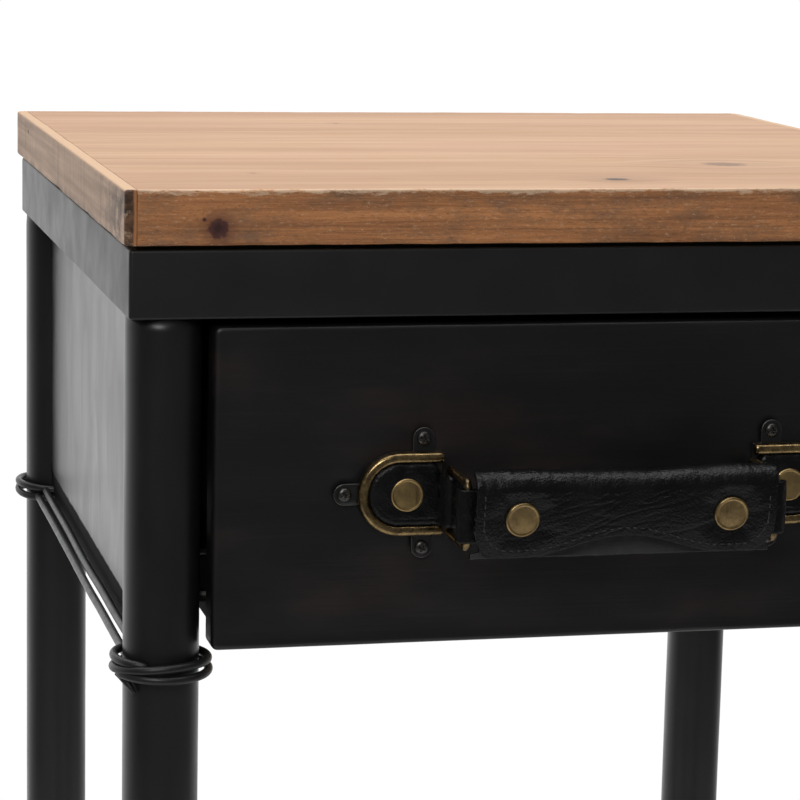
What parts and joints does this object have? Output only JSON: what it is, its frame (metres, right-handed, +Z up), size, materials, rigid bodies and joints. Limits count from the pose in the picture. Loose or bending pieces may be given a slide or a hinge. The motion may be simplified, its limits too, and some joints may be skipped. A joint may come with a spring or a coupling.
{
  "type": "side table with drawer",
  "caption": "Square side table with a wooden top, black steel frame on round tube legs, wire stretchers and one drawer with a folded leather grip on brass rings.",
  "frame": {"origin": "on the floor, in the middle of the overall width and depth, handle included", "axes": "+Z up; +X to the table's right as seen from the drawer; -Y is the way the drawer opens"},
  "size_m": [0.3592, 0.3932, 0.6],
  "materials": {
    "wood_top": "oiled reclaimed softwood, light wear on the edges",
    "steel_black": "satin black",
    "wire_black": "satin black wire",
    "felt": "dark felt strip",
    "rubber": "matt",
    "nylon": "natural nylon",
    "plywood": "clear varnished plywood",
    "hardwood": "waxed beech",
    "screw_steel": "darkened steel",
    "brass": "brushed, slightly aged",
    "leather": "black grained leather",
    "grip_filling": "twisted paper cord filling"
  },
  "bodies": {
    "table": {"top_board_front": "wood_top", "top_board_middle": "wood_top", "top_board_back": "wood_top", "top_lipping_left": "wood_top", "top_lipping_right": "wood_top", "packing_strips": "felt", "apron_front": "steel_black", "apron_back": "steel_black", "apron_left": "steel_black", "apron_right": "steel_black", "top_brackets": "steel_black", "leg_front_left": "steel_black", "leg_front_right": "steel_black", "leg_back_left": "steel_black", "leg_back_right": "steel_black", "side_panel_left": "steel_black", "side_panel_right": "steel_black", "back_panel": "steel_black", "runner_left": "steel_black", "runner_right": "steel_black", "rear_crossbar": "steel_black", "stop_lugs": "steel_black", "leg_wrap_front_left": "wire_black", "leg_wrap_front_right": "wire_black", "leg_wrap_back_left": "wire_black", "leg_wrap_back_right": "wire_black", "stretcher_left": "wire_black", "stretcher_right": "wire_black", "stretcher_back": "wire_black", "foot_caps": "rubber", "drawer_bumpers": "rubber", "glide_strips": "nylon", "top_screws": "screw_steel"},
    "drawer": {"drawer_front_skin": "steel_black", "drawer_front_core": "plywood", "drawer_side_left": "plywood", "drawer_side_right": "plywood", "drawer_back": "plywood", "drawer_bottom": "plywood", "corner_blocks": "plywood", "front_screws": "screw_steel", "rail_left": "hardwood", "rail_right": "hardwood", "rail_screws": "screw_steel", "stop_pins": "screw_steel", "handle_plate_left": "steel_black", "handle_plate_right": "steel_black", "handle_rim_left": "brass", "handle_rim_right": "brass", "leather_tab_left": "leather", "leather_tab_right": "leather", "plate_screws": "screw_steel", "tab_rivets": "brass"},
    "ring_left": {"handle_ring_left": "brass"},
    "ring_right": {"handle_ring_right": "brass"},
    "grip": {"grip_cover": "leather", "grip_core": "grip_filling", "grip_loop_left": "leather", "grip_loop_right": "leather", "grip_rivets": "brass"}
  },
  "joints": [
    {"name": "drawer_slide", "type": "slide", "parent": "table", "child": "drawer", "axis": [0, -1, 0], "range_m": [0, 0.22]},
    {"name": "ring_left_turn", "type": "hinge", "parent": "drawer", "child": "ring_left", "pos_m": [-0.058, -0.163, 0.4865], "axis": [0, 0, 1], "range_deg": [-25, 25]},
    {"name": "grip_turn", "type": "hinge", "parent": "ring_left", "child": "grip", "pos_m": [-0.058, -0.189, 0.4865], "axis": [0, 0, 1], "range_deg": [-25, 25]},
    {"name": "ring_right_turn", "type": "hinge", "parent": "drawer", "child": "ring_right", "pos_m": [0.058, -0.163, 0.4865], "axis": [0, 0, 1], "range_deg": [-25, 25]}
  ],
  "couplings": [
    {"joint": "grip_turn", "follows": "ring_left_turn", "ratio": -1},
    {"joint": "ring_right_turn", "follows": "ring_left_turn", "ratio": 1}
  ]
}
